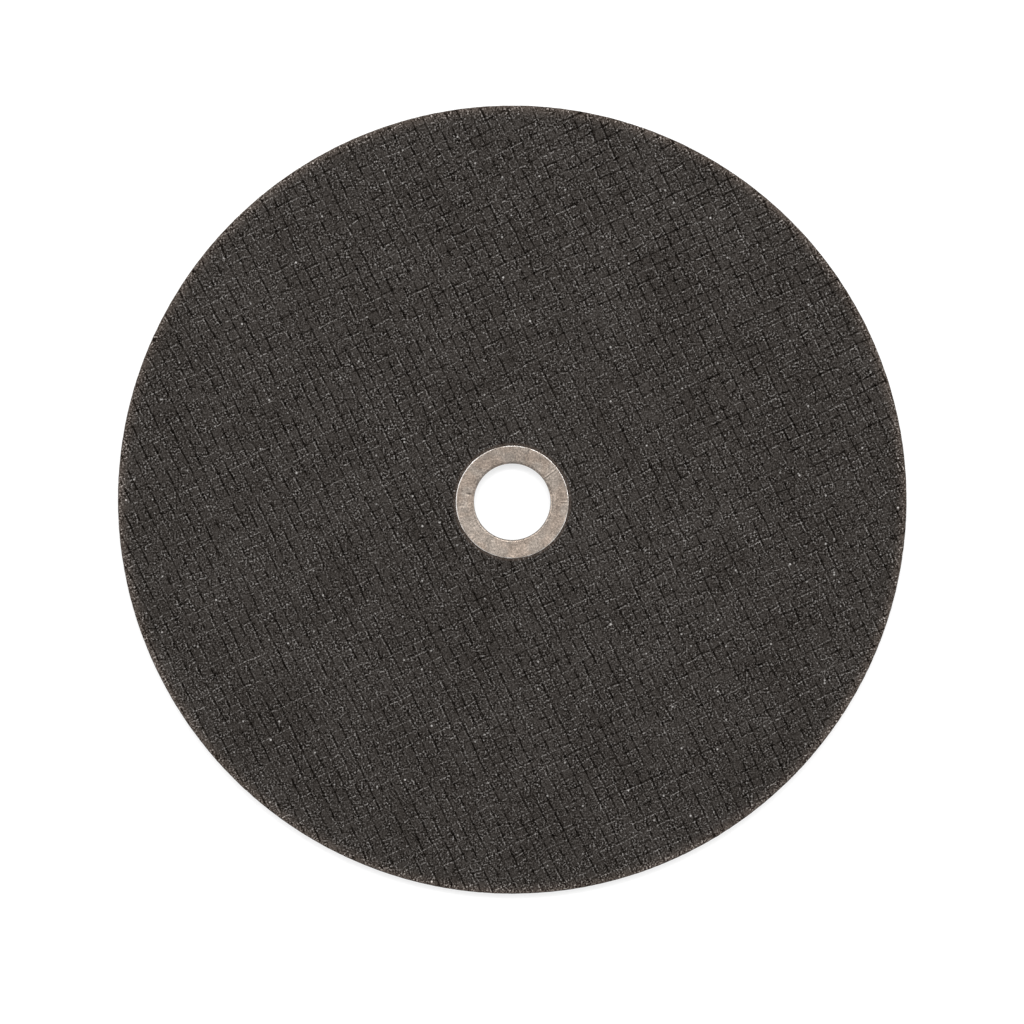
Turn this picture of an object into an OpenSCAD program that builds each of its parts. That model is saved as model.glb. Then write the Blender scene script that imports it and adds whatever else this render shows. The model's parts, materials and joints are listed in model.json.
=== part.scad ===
// Flat cut-off wheel: a bonded abrasive disc faced with woven glass cloth,
// and the pressed steel ring that lines its arbor hole.
// The wheel lies on its back face at Z = 0, with its axis on Z and its ringed face up.

/* [Wheel] */
// Outside diameter of the wheel (9 in)
wheel_d = 228.6; // [150:0.1:300]
// Thickness across the crests of the two woven faces (1/8 in)
wheel_t = 3.2; // [2.4:0.1:6]
// Corner broken off where each face meets the rim
edge_break = 0.3; // [0.2:0.05:0.6]

/* [Woven faces] */
// Spacing of the cloth's warp yarns
yarn_pitch = 3.26; // [2:0.01:6]
// Direction of the warp yarns, measured from the X axis
warp_angle = 115.5; // [0:0.5:180]
// Width of the valley between two yarns, at the crests
valley_w = 0.8; // [0.4:0.05:1.5]
// Width of the valley's floor
valley_floor_w = 0.2; // [0.1:0.05:0.4]
// Depth of the valley below the crests
valley_depth = 0.15; // [0.05:0.01:0.3]

/* [Arbor ring] */
// Bore that locates the wheel on the machine (7/8 in)
bore_d = 22.23; // [15:0.01:32]
// Width of the ring's flange, from the bore to its outer edge
flange_w = 5.3; // [2:0.1:12]
// Thickness of the sheet that the ring is pressed from
sheet_t = 0.5; // [0.3:0.05:0.8]
// Rounding of the flange's outer edge, on the side that shows
flange_edge_r = 0.2; // [0.05:0.05:0.25]
// Height of the flange above the woven face
flange_proud = 0.1; // [0:0.05:0.2]
// Distance that the collar stops short of the back face
collar_inset = 0.2; // [0:0.05:0.6]
// Radial clearance between the ring and the disc
seat_gap = 0.1; // [0.05:0.05:0.2]

/* [Hidden] */
$fn = 180;

wheel_r = wheel_d / 2;
bore_r = bore_d / 2;
flange_r = bore_r + flange_w;
collar_r = bore_r + sheet_t;
flange_top = wheel_t + flange_proud;
flange_seat = flange_top - sheet_t;

// Extra length that carries a cutting shape clear past the surface it cuts
overcut = 1;
// Valleys on each side of the middle yarn that it takes to cross the whole wheel
valleys_each_side = ceil(wheel_r / yarn_pitch) + 1;

// Middles of the valleys, in order across the wheel: one half pitch either side of each yarn
function valley_middles() =
    [for (i = [-valleys_each_side : valleys_each_side - 1]) (i + 0.5) * yarn_pitch];

// Outline of one valley as four corners, met from left to right
function valley_corners(middle, crest, floor) = [
    [middle - valley_w / 2, crest],
    [middle - valley_floor_w / 2, floor],
    [middle + valley_floor_w / 2, floor],
    [middle + valley_w / 2, crest],
];

// One woven face seen end-on along its warp yarns, from left to right
function face_profile(crest, floor) =
    [for (middle = valley_middles()) each valley_corners(middle, crest, floor)];

function reversed(points) = [for (i = [len(points) - 1 : -1 : 0]) points[i]];

// Slab with ridged faces, wider than the wheel, its yarns running along warp_angle
module woven_slab() {
    back_face = face_profile(0, valley_depth);
    front_face = face_profile(wheel_t, wheel_t - valley_depth);
    rotate([0, 0, warp_angle - 90])
        rotate([90, 0, 0])
            linear_extrude(height = wheel_d + 2 * overcut, center = true)
                polygon(concat(back_face, reversed(front_face)));
}

// Plain round disc with broken corners at the rim
module disc_blank() {
    rotate_extrude()
        polygon([
            [0, 0],
            [wheel_r - edge_break, 0],
            [wheel_r, edge_break],
            [wheel_r, wheel_t - edge_break],
            [wheel_r - edge_break, wheel_t],
            [0, wheel_t],
        ]);
}

// Hole for the ring's collar, and the shallow recess that its flange lies in
module ring_seat() {
    translate([0, 0, -overcut])
        cylinder(r = collar_r + seat_gap, h = wheel_t + 2 * overcut);
    translate([0, 0, flange_seat])
        cylinder(r = flange_r + seat_gap, h = sheet_t + overcut);
}

module abrasive_disc() {
    color([0.25, 0.23, 0.22])
        difference() {
            intersection() {
                disc_blank();
                woven_slab();
            }
            ring_seat();
        }
}

// Half section of the ring: a collar turned over into a flat flange, with the bend rounded
// at the mouth of the bore and the flange's outer edge eased
module ring_section() {
    bend = [collar_r, flange_top - sheet_t];
    edge = [flange_r - flange_edge_r, flange_top - flange_edge_r];

    translate([bore_r, collar_inset])
        square([sheet_t, bend.y - collar_inset]);
    intersection() {
        translate(bend)
            circle(r = sheet_t);
        translate([bore_r, bend.y])
            square([sheet_t, sheet_t]);
    }
    translate(bend)
        square([edge.x - bend.x, sheet_t]);
    translate([edge.x, bend.y])
        square([flange_edge_r, sheet_t - flange_edge_r]);
    intersection() {
        translate(edge)
            circle(r = flange_edge_r);
        translate(edge)
            square([flange_edge_r, flange_edge_r]);
    }
}

module arbor_ring() {
    color([0.65, 0.6, 0.56])
        rotate_extrude()
            ring_section();
}

abrasive_disc();
arbor_ring();
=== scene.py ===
"""Looks of a flat cut-off wheel: a gritty disc faced with woven glass cloth,
and the pressed steel ring in its arbor hole."""
import json
import math

import bpy
import numpy as np
from mathutils import Matrix, Vector, noise
from mathutils.geometry import delaunay_2d_cdt


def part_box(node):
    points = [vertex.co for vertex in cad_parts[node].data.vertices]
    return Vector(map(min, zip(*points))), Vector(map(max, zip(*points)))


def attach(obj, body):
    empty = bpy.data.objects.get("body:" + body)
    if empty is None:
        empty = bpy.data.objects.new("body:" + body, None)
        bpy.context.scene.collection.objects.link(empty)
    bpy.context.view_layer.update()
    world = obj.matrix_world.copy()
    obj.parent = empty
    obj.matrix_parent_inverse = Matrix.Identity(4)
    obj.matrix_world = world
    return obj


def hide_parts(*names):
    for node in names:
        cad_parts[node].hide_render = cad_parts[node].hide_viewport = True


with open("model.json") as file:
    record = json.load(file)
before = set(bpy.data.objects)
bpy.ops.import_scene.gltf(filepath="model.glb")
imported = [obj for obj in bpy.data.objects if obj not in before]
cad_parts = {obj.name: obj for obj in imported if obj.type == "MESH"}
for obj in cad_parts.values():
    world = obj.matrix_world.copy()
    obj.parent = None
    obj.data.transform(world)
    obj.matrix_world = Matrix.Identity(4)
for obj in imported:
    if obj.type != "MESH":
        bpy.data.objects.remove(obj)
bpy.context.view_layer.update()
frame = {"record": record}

MM = 0.001

# Wheel and ring, from the frame
DISC_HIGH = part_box("abrasive_disc")[1]
RING_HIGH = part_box("arbor_ring")[1]
WHEEL_R = max(DISC_HIGH.x, DISC_HIGH.y)
WHEEL_T = DISC_HIGH.z
FLANGE_R = max(RING_HIGH.x, RING_HIGH.y)
BORE_R = next(m["dims"]["r_mm"] for m in frame["record"]["mounts"] if m["name"] == "arbor_bore") * MM
SHEET_T = 0.5 * MM
SEAT_GAP = 0.1 * MM
EDGE_BREAK = 0.3 * MM
SEAT_R = FLANGE_R + SEAT_GAP
HOLE_R = BORE_R + SHEET_T + SEAT_GAP
SEAT_Z = RING_HIGH.z - SHEET_T

# Weave of the cloth
YARN_PITCH = 3.26 * MM
WARP_TURN = math.radians(25.5)
VALLEY_DEPTH = 0.15 * MM
VALLEY_HALF_W = 0.42 * MM
CROWN = 0.05 * MM
UNEVEN = 0.05 * MM
WANDER = 0.5 * MM
WANDER_SIZE = 30 * MM
SHIFT_ACROSS = 0.2 * MM
SHIFT_ALONG = 0.32 * MM
SEED = 9

# Strength of the grooves at the crossings, and halfway along a stretch of warp or weft
KNOT_RANGE = (0.2, 0.95)
WARP_RANGE = (0.42, 0.95)
WEFT_RANGE = (0.25, 0.85)

# Share of that strength over the wheel, as share_over_wheel() takes it
WARP_SHARE = {"middle": 0.95, "rise": (-0.08, 0.0), "spread": 0.12, "size": 40 * MM, "layer": 8.5}
WEFT_SHARE = {"middle": 0.76, "rise": (0.16, 0.2), "spread": 0.16, "size": 70 * MM, "layer": 6.5}
LEAST_WARP_SHARE = 0.5
LEAST_WEFT_SHARE = 0.25
MOST_SHARE = 1.05

# Edges of the disc's mesh
OUTER_POINTS = 576
INNER_POINTS = 144
EDGE_MARGIN = 0.35 * MM
RIM_GRIT = 0.07 * MM
RIM_GRIT_SIZE = 1.1 * MM
SHARP_ANGLE = math.radians(40)

# Pressed ring
COLLAR_INSET = 0.2 * MM
FLANGE_EDGE_R = 0.2 * MM
RING_POINTS = 480
EDGE_WOBBLE = 0.09 * MM
CREASE_DEPTH = 0.05 * MM
CREASE_HALF_W = 0.32 * MM
CREASES = 12

# Creases that the photograph shows: angle in degrees, and where each starts and ends across the flange
CREASES_SEEN = ((0, 0.5, 1.0), (37, 0.0, 1.0), (170, 0.1, 0.5))

# Sizes of the marks in the materials
GRIT_SIZE = 0.5 * MM
CHIP_SIZE = 1.1 * MM
PATCH_SIZE = 2.9 * MM
CLOUD_SIZE = 18 * MM
SPECK_SPACING = 2.6 * MM
RIM_BAND = 4 * MM
SQUEEZED_BAND = 0.8 * MM
GRAIN_SIZE = 0.55 * MM
BLOTCH_SIZE = 2.4 * MM
STAIN_SIZE = 4.2 * MM
PIT_SPACING = 1.3 * MM
FLANGE_GLINT_SIZE = 2.2 * MM

# Colours
RESIN = (0.0300, 0.0261, 0.0233)
YARN_GLINT = (0.27, 0.258, 0.248, 1)
PALE_GRAIN_AND_GLINT = (0.42, 0.405, 0.39, 1)
PALER_AT_RIM = (1.3, 1.12, 1.0)
SQUEEZED_RESIN = (0.085, 0.062, 0.049, 1)
STEEL_GREY = (0.448, 0.386, 0.334, 1)
STEEL_BROWN = (0.446, 0.366, 0.306, 1)
FLANGE_EDGE_GLINT = (0.90, 0.87, 0.84, 1)
FLOOR_PAINT = (0.45, 0.45, 0.45, 1)
FLOOR_LIFT = 0.6

# Camera, fitted to the photograph
SENSOR_MM = 36.0
VIEW_DISTANCE = 0.700
VIEW_LENS_MM = 84.956
VIEW_TILT = math.radians(1.897)
VIEW_AIM = Vector((-0.068 * MM, -2.886 * MM, WHEEL_T))


# Mesh of the woven disc

def smooth_noise(s, t, size, layer):
    """Smooth noise from about -1 to 1, with lumps of that size. Each layer is a different draw."""
    return np.array([noise.noise((u / size, v / size, layer)) for u, v in zip(s, t)])


def turned(s, t):
    """Frame coordinates of a place on the cloth: s runs across the warp yarns and t along them."""
    cos, sin = math.cos(WARP_TURN), math.sin(WARP_TURN)
    return s * cos - t * sin, s * sin + t * cos


def turned_back(x, y):
    """Place on the cloth of a point in the frame."""
    cos, sin = math.cos(WARP_TURN), math.sin(WARP_TURN)
    return x * cos + y * sin, y * cos - x * sin


def share_over_wheel(s, t, least, middle, rise, spread, size, layer):
    """Share of a groove's strength at each place: its level in the middle of the wheel,
    its rise over one radius along X and Y, and noise of that spread and size."""
    x, y = turned(s, t)
    share = middle + (rise[0] * x + rise[1] * y) / WHEEL_R + spread * smooth_noise(s, t, size, layer)
    return np.clip(share, least, MOST_SHARE)


class Cloth:
    """Grooves between the yarns. Every stretch of groove and every crossing is a little different."""

    def __init__(self, seed):
        draw = np.random.default_rng(seed)
        self.span = int(WHEEL_R / YARN_PITCH) + 4
        shape = (2 * self.span, 2 * self.span)
        self.knot = draw.uniform(*KNOT_RANGE, shape)
        self.warp = draw.uniform(*WARP_RANGE, shape)
        self.weft = draw.uniform(*WEFT_RANGE, shape)
        self.drop = draw.uniform(0.0, 1.0, shape)
        self.across = draw.uniform(-SHIFT_ACROSS, SHIFT_ACROSS, shape)
        self.along = draw.uniform(-SHIFT_ALONG, SHIFT_ALONG, shape)

    def stray(self, s, t):
        """How far the yarns stray from straight lines at each place, across the warp and along it."""
        col = s / YARN_PITCH - 0.5 + self.span
        row = t / YARN_PITCH - 0.5 + self.span
        i = np.floor(col).astype(int)
        j = np.floor(row).astype(int)
        u = col - i
        v = row - j
        stray = []
        for layer, shift in ((1.5, self.across), (3.5, self.along)):
            near = shift[i, j] * (1 - u) + shift[i + 1, j] * u
            far = shift[i, j + 1] * (1 - u) + shift[i + 1, j + 1] * u
            stray.append(WANDER * smooth_noise(s, t, WANDER_SIZE, layer) + near * (1 - v) + far * v)
        return stray

    def measure(self, s, t):
        """Drop below the crests in metres, and what the material needs at each place: groove, which is 0
        on a yarn and 1 at the bottom of a gap, and the place in pitches, whole in the middle of a gap."""
        col = s / YARN_PITCH - 0.5
        row = t / YARN_PITCH - 0.5
        near_col = np.round(col)
        near_row = np.round(row)
        to_warp = np.abs(col - near_col) * YARN_PITCH
        to_weft = np.abs(row - near_row) * YARN_PITCH
        on_crest_row = 2 * to_weft / YARN_PITCH
        on_crest_col = 2 * to_warp / YARN_PITCH
        line_col = near_col.astype(int) + self.span
        line_row = near_row.astype(int) + self.span
        cell_col = np.floor(col).astype(int) + self.span
        cell_row = np.floor(row).astype(int) + self.span
        knot = self.knot[line_col, line_row]

        warp = knot + (self.warp[line_col, cell_row] - knot) * on_crest_row
        warp *= np.clip(1 - to_warp / VALLEY_HALF_W, 0, 1)
        warp *= share_over_wheel(s, t, LEAST_WARP_SHARE, **WARP_SHARE)
        weft = knot + (self.weft[cell_col, line_row] - knot) * on_crest_col
        weft *= np.clip(1 - to_weft / VALLEY_HALF_W, 0, 1)
        weft *= share_over_wheel(s, t, LEAST_WEFT_SHARE, **WEFT_SHARE)
        groove = np.maximum(warp, weft)
        slope = ((1 - on_crest_row) ** 2 + (1 - on_crest_col) ** 2) / 2
        drop = VALLEY_DEPTH * groove + CROWN * slope + UNEVEN * self.drop[cell_col, cell_row] * (1 - groove)
        return drop, np.stack([groove, col, row], axis=1)


def line_places(offsets):
    """Where the rows of mesh points lie: at these offsets from the middle of every groove."""
    count = int(WHEEL_R / YARN_PITCH) + 2
    middles = (np.arange(-count, count) + 0.5) * YARN_PITCH
    return np.sort((middles[:, None] + np.array(offsets)[None, :]).ravel())


def ring_points(radius, count):
    angle = np.arange(count) * 2 * math.pi / count
    return radius * np.cos(angle), radius * np.sin(angle)


def woven_face(cloth, offsets, inner_r, outer_r):
    """Points and triangles of one woven face between two circles. The outer circle's points come
    next to last, and the inner circle's come last."""
    lines = line_places(offsets)
    s, t = (grid.ravel() for grid in np.meshgrid(lines, lines))
    inside = np.hypot(s, t) < outer_r + WANDER
    s, t = s[inside], t[inside]
    drift_s, drift_t = cloth.stray(s, t)
    x, y = turned(s + drift_s, t + drift_t)
    radius = np.hypot(x, y)
    keep = (radius > inner_r + EDGE_MARGIN) & (radius < outer_r - EDGE_MARGIN)
    s, t, x, y = s[keep], t[keep], x[keep], y[keep]

    for edge_r, count in ((outer_r, OUTER_POINTS), (inner_r, INNER_POINTS)):
        edge_x, edge_y = ring_points(edge_r, count)
        edge_s, edge_t = turned_back(edge_x, edge_y)
        drift_s, drift_t = cloth.stray(edge_s, edge_t)
        x, y = np.append(x, edge_x), np.append(y, edge_y)
        s, t = np.append(s, edge_s - drift_s), np.append(t, edge_t - drift_t)

    points = [Vector(p) for p in zip(x, y)]
    outer = range(len(x) - INNER_POINTS - OUTER_POINTS, len(x) - INNER_POINTS)
    inner = range(len(x) - INNER_POINTS, len(x))
    edges = [(loop[k - 1], loop[k]) for loop in (outer, inner) for k in range(len(loop))]
    triangles = delaunay_2d_cdt(points, edges, [], 0, 1e-9)[2]
    triangles = [f for f in triangles if min(f) < inner.start]
    drop, looks = cloth.measure(s, t)
    return x, y, drop, looks, triangles


def strip(loop_a, loop_b):
    """Quads between two loops of as many points."""
    count = len(loop_a)
    return [(loop_a[k], loop_b[k], loop_b[(k + 1) % count], loop_a[(k + 1) % count]) for k in range(count)]


class Shell:
    """Collects the points of one closed mesh, with the weave's looks and the laid-out radius at each."""

    def __init__(self):
        self.points = []
        self.looks = []
        self.flat_r = []

    def add(self, x, y, z, flat_r, looks):
        start = len(self.points)
        self.points += list(zip(x, y, np.broadcast_to(z, len(x))))
        self.looks += list(looks)
        self.flat_r += list(np.broadcast_to(flat_r, len(x)))
        return list(range(start, len(self.points)))


def woven_disc():
    """The whole disc as one closed mesh: two woven faces, a gritty rim, and the stepped hole for the ring."""
    cloth_front = Cloth(SEED)
    cloth_back = Cloth(SEED + 1)
    shell = Shell()
    face_r = WHEEL_R - EDGE_BREAK
    groove_lines = (-VALLEY_HALF_W, 0, VALLEY_HALF_W)
    front_lines = groove_lines + (YARN_PITCH / 2,)

    x, y, drop, looks, front_faces = woven_face(cloth_front, front_lines, SEAT_R, face_r)
    front = shell.add(x, y, WHEEL_T - drop, np.hypot(x, y), looks)
    front_outer = front[-INNER_POINTS - OUTER_POINTS:-INNER_POINTS]
    front_inner = front[-INNER_POINTS:]

    rim_looks = looks[-INNER_POINTS - OUTER_POINTS:-INNER_POINTS] * (0, 1, 1)
    hole_looks = looks[-INNER_POINTS:] * (0, 1, 1)
    rim_rows = [front_outer]
    rim_levels = (WHEEL_T - EDGE_BREAK, WHEEL_T * 0.62, WHEEL_T * 0.36, EDGE_BREAK)
    for row, level in enumerate(rim_levels):
        x, y = ring_points(WHEEL_R, OUTER_POINTS)
        grit = smooth_noise(x, y, RIM_GRIT_SIZE, 10.5 + 3 * row) + 0.5
        inset = 1 - RIM_GRIT * np.clip(grit, 0, 1) / WHEEL_R
        rim_rows.append(shell.add(x * inset, y * inset, level, WHEEL_R + WHEEL_T - level, rim_looks))

    x, y, drop, looks, back_faces = woven_face(cloth_back, groove_lines, HOLE_R, face_r)
    back_flat_r = np.hypot(x, y)
    back = shell.add(x, y, drop, WHEEL_R + WHEEL_T, looks)
    back_outer = back[-INNER_POINTS - OUTER_POINTS:-INNER_POINTS]
    back_inner = back[-INNER_POINTS:]
    rim_rows.append(back_outer)

    seat_wall_r = SEAT_R - (WHEEL_T - SEAT_Z)
    hole_top_r = seat_wall_r - (SEAT_R - HOLE_R)
    x, y = ring_points(SEAT_R, INNER_POINTS)
    seat_corner = shell.add(x, y, SEAT_Z, seat_wall_r, hole_looks)
    x, y = ring_points(HOLE_R, INNER_POINTS)
    hole_top = shell.add(x, y, SEAT_Z, hole_top_r, hole_looks)
    for k in back_inner:
        shell.flat_r[k] = hole_top_r - SEAT_Z
    hole_rows = [back_inner, hole_top, seat_corner, front_inner]

    faces = [tuple(f) for f in front_faces]
    for upper, lower in zip(rim_rows, rim_rows[1:]):
        faces += strip(upper, lower)
    for lower, upper in zip(hole_rows, hole_rows[1:]):
        faces += strip(lower, upper)
    front_count = len(faces)
    faces += [(back[a], back[c], back[b]) for a, b, c in back_faces]

    mesh = bpy.data.meshes.new("woven_disc")
    mesh.from_pydata(shell.points, [], faces)
    looks = np.array(shell.looks, np.float32).ravel()
    mesh.attributes.new("weave", "FLOAT_VECTOR", "POINT").data.foreach_set("vector", looks)
    lay_out(mesh, shell, front_count, back, back_flat_r)
    mesh.polygons.foreach_set("use_smooth", np.ones(len(faces), bool))
    mesh.set_sharp_from_angle(angle=SHARP_ANGLE)
    disc = bpy.data.objects.new("woven_disc", mesh)
    bpy.context.scene.collection.objects.link(disc)
    return disc


def lay_out(mesh, shell, front_count, back, back_flat_r):
    """UV map with two round islands: the front, with rim and hole laid out flat, and the smaller back."""
    front_middle = 0.37
    front_share = 0.365
    back_middle = 0.785
    back_share = 0.212
    points = np.array(shell.points)
    angle = np.arctan2(points[:, 1], points[:, 0])
    front_scale = front_share / (WHEEL_R + WHEEL_T)
    front_r = np.array(shell.flat_r) * front_scale
    back_r = np.zeros(len(points))
    back_r[back] = back_flat_r * back_share / WHEEL_R
    front_uv = front_middle + np.stack([front_r * np.cos(angle), front_r * np.sin(angle)], axis=1)
    back_uv = back_middle + np.stack([-back_r * np.cos(angle), back_r * np.sin(angle)], axis=1)
    corner_point = np.zeros(len(mesh.loops), np.int32)
    mesh.loops.foreach_get("vertex_index", corner_point)
    first_back_corner = mesh.polygons[front_count].loop_start
    uv = front_uv[corner_point]
    uv[first_back_corner:] = back_uv[corner_point[first_back_corner:]]
    mesh.uv_layers.new(name="OFBake").data.foreach_set("uv", uv.astype(np.float32).ravel())


# Mesh of the pressed ring

def ring_section():
    """Half section of the ring as radius and height: up the bore, over the bend, out and back."""
    top = RING_HIGH.z
    collar_r = BORE_R + SHEET_T
    edge_r = FLANGE_R - FLANGE_EDGE_R
    section = [(BORE_R, COLLAR_INSET), (BORE_R, SEAT_Z)]
    for turn in np.radians(np.linspace(168, 90, 8)):
        section.append((collar_r + SHEET_T * math.cos(turn), SEAT_Z + SHEET_T * math.sin(turn)))
    for r in np.linspace(collar_r, edge_r, 14)[1:]:
        section.append((r, top))
    for turn in np.radians(np.linspace(72, 0, 5)):
        section.append((edge_r + FLANGE_EDGE_R * math.cos(turn), top - FLANGE_EDGE_R * (1 - math.sin(turn))))
    section += [(FLANGE_R, SEAT_Z), (collar_r, SEAT_Z), (collar_r, COLLAR_INSET)]
    return section


def creases(angle, r):
    """Radial creases on a circle of this radius, at each angle: up to 1 on the side of a crease that is
    painted in shade, and down to -1 on the side painted as a highlight. Its size also sets how deep the
    crease is."""
    draw = np.random.default_rng(SEED + 2)
    marks = [(math.radians(at), start, end, 1.0) for at, start, end in CREASES_SEEN]
    for _ in range(CREASES):
        start = draw.uniform(0, 0.7)
        at = draw.uniform(0, 2 * math.pi)
        end = start + draw.uniform(0.2, 0.5)
        strength = draw.uniform(0.2, 0.6)
        marks.append((at, start, end, strength))
    share = (r - BORE_R) / (FLANGE_R - BORE_R)
    fade = 0.08
    from_middle = 0.6 * CREASE_HALF_W
    crease_shading = np.zeros(len(angle))
    for at, start, end, strength in marks:
        ends = np.clip(min(share - start, end - share) / fade, 0, 1)
        aside = ((angle - at + math.pi) % (2 * math.pi) - math.pi) * r
        dark = np.clip(1 - np.abs(aside + from_middle) / CREASE_HALF_W, 0, 1)
        light = np.clip(1 - np.abs(aside - from_middle) / CREASE_HALF_W, 0, 1)
        crease_shading += strength * ends * (dark - light)
    return np.clip(crease_shading, -1, 1)


def pressed_ring():
    """The ring as the press left it: a collar turned over into a flange, with an uneven edge and creases."""
    angle = np.arange(RING_POINTS) * 2 * math.pi / RING_POINTS
    x, y = ring_points(FLANGE_R, RING_POINTS)
    waves = 0.5 * smooth_noise(x, y, 6 * MM, 20.5) + 0.4 * smooth_noise(x, y, 1.5 * MM, 21.5)
    wobble = EDGE_WOBBLE * np.clip(0.5 + waves, 0, 1)
    section = ring_section()
    points, crease_shading, rows = [], [], []
    for r, z in section:
        near_edge = np.clip((r - FLANGE_R) / MM + 1, 0, 1)
        on_top = z > RING_HIGH.z - 0.02 * MM
        crease = creases(angle, r) if on_top else np.zeros(RING_POINTS)
        radius = r - wobble * near_edge
        rows.append(list(range(len(points), len(points) + RING_POINTS)))
        points += list(zip(radius * np.cos(angle), radius * np.sin(angle), z - CREASE_DEPTH * np.abs(crease)))
        crease_shading += list(crease)
    faces = []
    for row in range(len(rows)):
        faces += strip(rows[row], rows[(row + 1) % len(rows)])

    mesh = bpy.data.meshes.new("pressed_ring")
    mesh.from_pydata(points, [], faces)
    # Painted light and shade for the two sides of each crease
    mesh.attributes.new("crease_shading", "FLOAT", "POINT").data.foreach_set("value", np.array(crease_shading, np.float32))
    unroll(mesh, section)
    mesh.polygons.foreach_set("use_smooth", np.ones(len(faces), bool))
    mesh.set_sharp_from_angle(angle=SHARP_ANGLE)
    ring = bpy.data.objects.new("pressed_ring", mesh)
    bpy.context.scene.collection.objects.link(ring)
    return ring


def unroll(mesh, section):
    """UV map with the ring's surface rolled out as one long strip."""
    closed = np.array(section + section[:1])
    along = np.append(0, np.cumsum(np.hypot(*np.diff(closed, axis=0).T))) / (2 * math.pi * FLANGE_R)
    round_it = np.arange(RING_POINTS + 1) / RING_POINTS
    uv = []
    for low, high in zip(along, along[1:]):
        start, end = round_it[:-1], round_it[1:]
        low, high = np.full(RING_POINTS, low), np.full(RING_POINTS, high)
        uv.append(np.stack([start, low, start, high, end, high, end, low], axis=1))
    mesh.uv_layers.new(name="OFBake").data.foreach_set("uv", np.concatenate(uv).astype(np.float32).ravel())


# Materials

class Graph:
    """Adds nodes to one material and joins them."""

    def __init__(self, name):
        self.material = bpy.data.materials.new(name)
        self.material.use_nodes = True
        self.tree = self.material.node_tree
        self.tree.nodes.clear()

    def add(self, kind, inputs=None, **settings):
        node = self.tree.nodes.new(kind)
        for key, value in settings.items():
            setattr(node, key, value)
        for key, value in (inputs or {}).items():
            if isinstance(value, bpy.types.NodeSocket):
                self.tree.links.new(value, node.inputs[key])
            else:
                node.inputs[key].default_value = value
        return node

    def math(self, operation, a, b=0.0):
        return self.add("ShaderNodeMath", {0: a, 1: b}, operation=operation).outputs[0]

    def times(self, a, b):
        return self.math("MULTIPLY", a, b)

    def remap(self, value, low, high, to_low, to_high, smooth=False):
        kind = "SMOOTHSTEP" if smooth else "LINEAR"
        inputs = {"Value": value, "From Min": low, "From Max": high, "To Min": to_low, "To Max": to_high}
        return self.add("ShaderNodeMapRange", inputs, interpolation_type=kind, clamp=True).outputs["Result"]

    def scaled(self, colour, factor):
        return self.add("ShaderNodeVectorMath", {0: colour, "Scale": factor}, operation="SCALE").outputs[0]

    def warm(self, tone, colour):
        """This colour times the tone, warmer where it is darker and greyer where it is paler."""
        bands = [self.times(self.math("POWER", tone, power), level)
                 for level, power in zip(colour, (0.95, 1.0, 1.045))]
        return self.add("ShaderNodeCombineColor", dict(enumerate(bands))).outputs["Color"]

    def mixed(self, factor, a, b):
        node = self.add("ShaderNodeMix", {"Factor": factor}, data_type="RGBA")
        for socket, value in ((node.inputs[6], a), (node.inputs[7], b)):
            if isinstance(value, bpy.types.NodeSocket):
                self.tree.links.new(value, socket)
            else:
                socket.default_value = value
        return node.outputs[2]

    def noise(self, coords, size, detail=2.0, roughness=0.5, dimensions="3D"):
        inputs = {"Vector": coords, "Scale": 1 / size, "Detail": detail, "Roughness": roughness}
        return self.add("ShaderNodeTexNoise", inputs, noise_dimensions=dimensions).outputs["Fac"]

    def place(self):
        return self.add("ShaderNodeTexCoord").outputs["Object"]

    def radius(self, coords):
        flat = self.add("ShaderNodeVectorMath", {0: coords, 1: (1, 1, 0)}, operation="MULTIPLY").outputs[0]
        return self.add("ShaderNodeVectorMath", {0: flat}, operation="LENGTH").outputs["Value"]

    def spots(self, coords, spacing, sizes, rarity, strength):
        """Small round spots, this far apart: full inside the first size and gone at the second."""
        cells = self.add("ShaderNodeTexVoronoi", {"Vector": coords, "Scale": 1 / spacing})
        chosen = self.add("ShaderNodeSeparateColor", {"Color": cells.outputs["Color"]}).outputs["Red"]
        spot = self.remap(cells.outputs["Distance"], *sizes, 1.0, 0.0, smooth=True)
        return self.times(spot, self.remap(chosen, rarity, 1.0, 0.0, strength))

    def finish(self, shader):
        self.add("ShaderNodeOutputMaterial", {"Surface": shader})
        return self.material


def painted_yarn_glint(g, across, along, side):
    """Thin line beside some stretches of groove: a painted highlight on the edge of a yarn. Distances are in
    pitches.
    """
    from_line = 0.17
    half_width = 0.06
    shifted = g.math("ADD", across, 0.5)
    offset = g.math("SUBTRACT", g.math("FRACT", shifted), 0.5 + side * from_line)
    line = g.remap(g.math("ABSOLUTE", offset), 0.0, half_width, 1.0, 0.0, smooth=True)
    stretch = {"X": g.math("FLOOR", shifted), "Y": g.math("FLOOR", along), "Z": side}
    stretch = g.add("ShaderNodeCombineXYZ", stretch).outputs[0]
    chance = g.add("ShaderNodeTexWhiteNoise", {"Vector": stretch}).outputs["Value"]
    return g.times(line, g.remap(chance, 0.3, 1.0, 0.0, 1.0))


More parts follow.
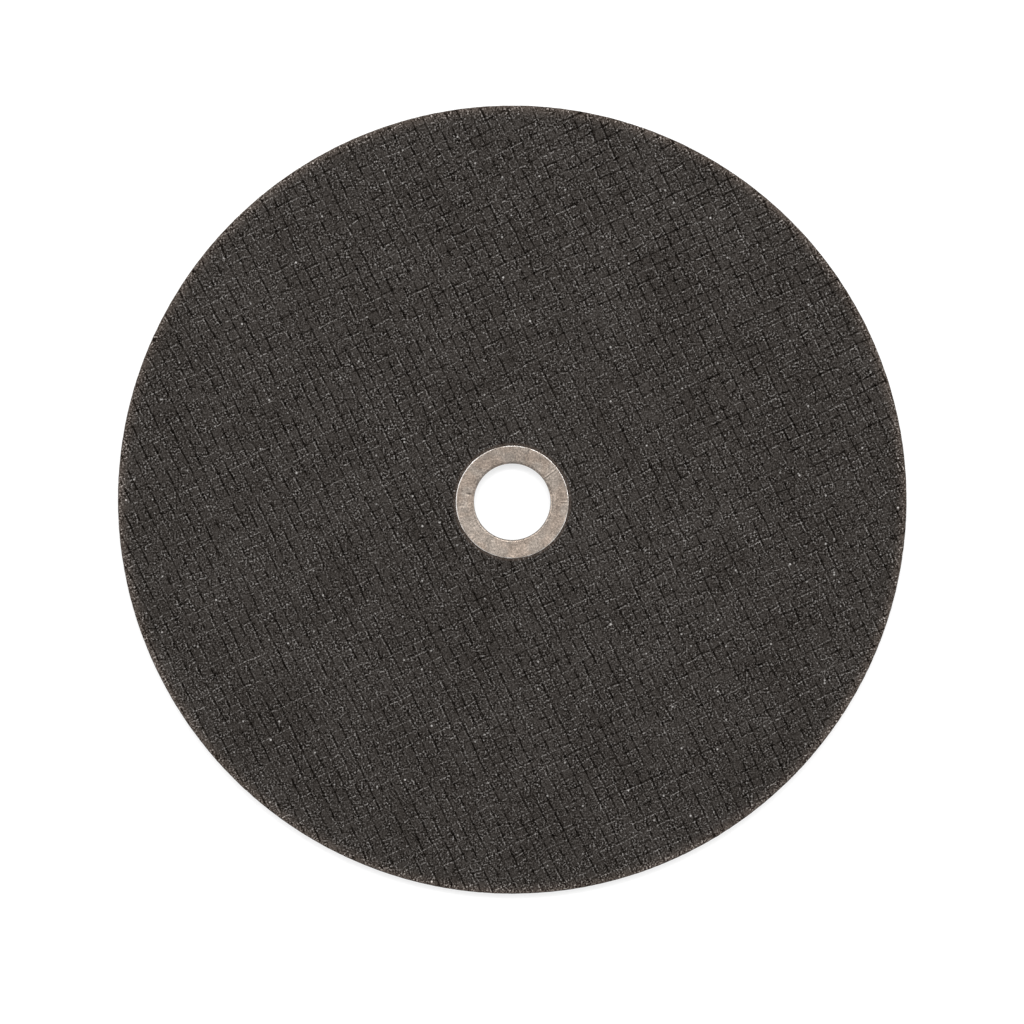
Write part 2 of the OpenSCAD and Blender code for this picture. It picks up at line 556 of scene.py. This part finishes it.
def abrasive_material():
    """Charcoal resin and grit pressed through the cloth: gaps darkened by resin and painted shade, pale
    grains with painted glints, painted highlights on the yarn edges, and a warmer, paler edge.
    """
    g = Graph("bonded_abrasive")
    place = g.place()
    radius = g.radius(place)
    weave = g.add("ShaderNodeAttribute", attribute_name="weave").outputs["Vector"]
    groove, col, row = g.add("ShaderNodeSeparateXYZ", {"Vector": weave}).outputs

    height = g.add("ShaderNodeSeparateXYZ", {"Vector": place}).outputs["Z"]
    rolled_out = g.scaled(place, g.remap(height, 0.0, WHEEL_T, 1 + WHEEL_T / WHEEL_R, 1.0))
    grit = g.noise(rolled_out, GRIT_SIZE, 1.0, 0.5, "2D")
    chip = g.noise(place, CHIP_SIZE, 1.0)
    patch = g.noise(place, PATCH_SIZE, 1.0)
    cloud = g.noise(place, CLOUD_SIZE, 0.0)
    rough = g.math("ADD", g.remap(grit, 0.25, 0.75, -0.15, 0.15), g.remap(chip, 0.3, 0.7, -0.2, 0.2))
    ragged = g.math("ADD", groove, rough)
    harsh = g.times(g.remap(grit, 0.1, 0.9, -2.4, 2.4), g.remap(patch, 0.35, 0.65, 0.4, 1.35))
    tone = g.times(g.math("EXPONENT", harsh), g.remap(patch, 0.35, 0.65, 1.18, 0.84))
    tone = g.times(tone, g.remap(cloud, 0.3, 0.7, 0.9, 1.1))
    # Darker in the grooves: dark resin in the gaps, with painted shade in them as well
    tone = g.times(tone, g.remap(ragged, 0.22, 0.66, 1.0, 0.13, smooth=True))
    colour = g.warm(tone, RESIN)
    on_face = g.remap(radius, WHEEL_R - 0.6 * MM, WHEEL_R - EDGE_BREAK, 1.0, 0.0)
    dotted = g.times(g.remap(grit, 0.46, 0.64, 0.0, 1.0), on_face)
    # Painted highlights on the yarns' edges beside the grooves, stronger on one side of each groove
    yarn_edges = (
        (col, row, -1, 0.85),
        (row, col, -1, 1.0),
        (col, row, 1, 0.5),
        (row, col, 1, 0.6),
    )
    for across, along, side, share in yarn_edges:
        yarn_glint = g.times(g.times(painted_yarn_glint(g, across, along, side), dotted), share)
        colour = g.mixed(yarn_glint, colour, YARN_GLINT)
    # Pale specks: pale grains of grit, which also stand in for painted glints
    speck = g.spots(place, SPECK_SPACING, (0.06, 0.15), 0.7, 0.95)
    colour = g.mixed(speck, colour, PALE_GRAIN_AND_GLINT)

    rim = g.math("POWER", g.remap(radius, WHEEL_R - RIM_BAND, WHEEL_R, 0.0, 1.0), 2.0)
    paler = g.add("ShaderNodeVectorMath", {0: rim, 1: PALER_AT_RIM, 2: (1, 1, 1)}, operation="MULTIPLY_ADD")
    colour = g.add("ShaderNodeVectorMath", {0: colour, 1: paler.outputs[0]}, operation="MULTIPLY").outputs[0]
    squeezed = g.remap(radius, SEAT_R, SEAT_R + SQUEEZED_BAND, 0.5, 0.0)
    squeezed = g.times(squeezed, g.remap(height, 0.0, SEAT_Z, 0.0, 1.0))
    colour = g.mixed(squeezed, colour, SQUEEZED_RESIN)

    relief = {"Height": grit, "Strength": 1.0, "Distance": 0.12 * MM}
    bump = g.add("ShaderNodeBump", relief).outputs["Normal"]
    finish = {"Base Color": colour, "Roughness": 0.6, "Specular IOR Level": 0.0, "Normal": bump}
    shader = g.add("ShaderNodeBsdfPrincipled", finish)
    return g.finish(shader.outputs["BSDF"])


def steel_material():
    """Dull pressed steel: grain, brown and grey patches, pits; painted shade at the bend and bore, painted
    light and shade on the creases, a painted highlight on the flange edge, and painted shading lighter
    towards -Y.
    """
    g = Graph("ring_steel")
    place = g.place()
    radius = g.radius(place)
    grain = g.noise(place, GRAIN_SIZE, 1.0, 1.0)
    blotch = g.noise(place, BLOTCH_SIZE, 2.0, 0.6)
    stain = g.noise(place, STAIN_SIZE, 1.0)
    _, up_photo, height = g.add("ShaderNodeSeparateXYZ", {"Vector": place}).outputs
    crease_shading = g.add("ShaderNodeAttribute", attribute_name="crease_shading").outputs["Fac"]
    tone = g.math("EXPONENT", g.remap(grain, 0.1, 0.9, -0.85, 0.85))
    # Painted shading: lighter towards -Y, darker towards +Y
    tone = g.times(tone, g.remap(up_photo, -FLANGE_R, FLANGE_R, 1.22, 0.84))
    # Painted shade: darker over the bend at the bore, at the bore's edge, and down the collar's walls below
    # the flange
    from_fold = g.math("ABSOLUTE", g.math("SUBTRACT", radius, BORE_R + 0.55 * MM))
    tone = g.times(tone, g.remap(from_fold, 0.0, 0.35 * MM, 0.6, 0.83))
    tone = g.times(tone, g.remap(radius, BORE_R, BORE_R + 0.4 * MM, 0.85, 1.0))
    tone = g.times(tone, g.remap(height, SEAT_Z - 0.1 * MM, SEAT_Z + 0.3 * MM, 0.3, 1.0))
    tone = g.times(tone, g.remap(blotch, 0.3, 0.7, 0.72, 1.18))
    # Painted light and shade on the creases: one side darker, the other lighter
    tone = g.times(tone, g.remap(crease_shading, -1.0, 1.0, 1.6, 0.4))
    pit = g.spots(place, PIT_SPACING, (0.08, 0.2), 0.8, 0.5)
    tone = g.times(tone, g.math("SUBTRACT", 1.0, pit))
    stain = g.remap(stain, 0.4, 0.62, 0.0, 1.0, smooth=True)
    colour = g.mixed(stain, STEEL_GREY, STEEL_BROWN)
    colour = g.scaled(colour, tone)
    # Painted highlight: a pale, broken line along the flange's rounded outer edge
    flange_glint = g.remap(radius, FLANGE_R - 0.42 * MM, FLANGE_R - 0.12 * MM, 0.0, 1.0, smooth=True)
    flange_glint = g.times(flange_glint, g.remap(g.noise(place, FLANGE_GLINT_SIZE), 0.4, 0.58, 0.1, 1.0))
    colour = g.mixed(flange_glint, colour, FLANGE_EDGE_GLINT)
    relief = {"Height": grain, "Strength": 0.6, "Distance": 0.03 * MM}
    bump = g.add("ShaderNodeBump", relief).outputs["Normal"]
    finish = {"Base Color": colour, "Metallic": 1.0, "Roughness": 0.45, "Normal": bump}
    shader = g.add("ShaderNodeBsdfPrincipled", finish)
    return g.finish(shader.outputs["BSDF"])


def floor_material():
    """White floor that shows pure white where nothing shades it, and keeps the wheel's soft shadow."""
    g = Graph("floor_white")
    path = g.add("ShaderNodeLightPath").outputs
    seen = g.math("MAXIMUM", path["Is Camera Ray"], path["Is Glossy Ray"])
    seen = g.math("MAXIMUM", seen, path["Is Transmission Ray"])
    paint = g.add("ShaderNodeBsdfDiffuse", {"Color": FLOOR_PAINT}).outputs["BSDF"]
    lift = g.add("ShaderNodeEmission", {"Strength": g.times(seen, FLOOR_LIFT)}).outputs["Emission"]
    return g.finish(g.add("ShaderNodeAddShader", {0: paint, 1: lift}).outputs["Shader"])


# Scene

def add_floor():
    size = 12.0
    below = 0.2 * MM
    mesh = bpy.data.meshes.new("floor")
    corners = [(-size, -size, -below), (size, -size, -below), (size, size, -below), (-size, size, -below)]
    mesh.from_pydata(corners, [], [(0, 1, 2, 3)])
    floor = bpy.data.objects.new("floor", mesh)
    bpy.context.scene.collection.objects.link(floor)
    mesh.materials.append(floor_material())


def add_lamp(name, place, size, power):
    """Soft rectangular lamp aimed at the middle of the wheel."""
    data = bpy.data.lights.new(name, "AREA")
    data.shape = "RECTANGLE"
    data.size, data.size_y = size
    data.energy = power
    lamp = bpy.data.objects.new(name, data)
    lamp.location = place
    lamp.rotation_euler = (-Vector(place)).to_track_quat("-Z", "Y").to_euler()
    bpy.context.scene.collection.objects.link(lamp)


def add_lights():
    world = bpy.data.worlds.new("studio")
    world.use_nodes = True
    world.node_tree.nodes["Background"].inputs["Color"].default_value = (1, 1, 1, 1)
    world.node_tree.nodes["Background"].inputs["Strength"].default_value = 0.55
    bpy.context.scene.world = world
    add_lamp("top_lamp", (0.0, 0.70, 1.03), (1.2, 0.5), 12.0)
    add_lamp("left_lamp", (-1.1, 0.2, 0.8), (0.8, 0.8), 6.5)
    add_lamp("right_lamp", (1.1, 0.2, 0.8), (0.8, 0.8), 6.5)


def add_camera():
    data = bpy.data.cameras.new("camera")
    data.sensor_width = SENSOR_MM
    data.lens = VIEW_LENS_MM
    camera = bpy.data.objects.new("camera", data)
    above = Vector((0, math.sin(VIEW_TILT), math.cos(VIEW_TILT)))
    camera.location = Vector((0, 0, WHEEL_T)) + VIEW_DISTANCE * above
    forward = (VIEW_AIM - camera.location).normalized()
    right = forward.cross(Vector((0, 1, 0))).normalized()
    camera.rotation_euler = Matrix((right, right.cross(forward), -forward)).transposed().to_euler()
    bpy.context.scene.collection.objects.link(camera)
    bpy.context.scene.camera = camera


disc = woven_disc()
disc.data.materials.append(abrasive_material())
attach(disc, "root")
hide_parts("abrasive_disc")

ring = pressed_ring()
ring.data.materials.append(steel_material())
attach(ring, "root")
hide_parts("arbor_ring")

add_floor()
add_lights()
add_camera()
bpy.context.scene.view_settings.view_transform = "Standard"
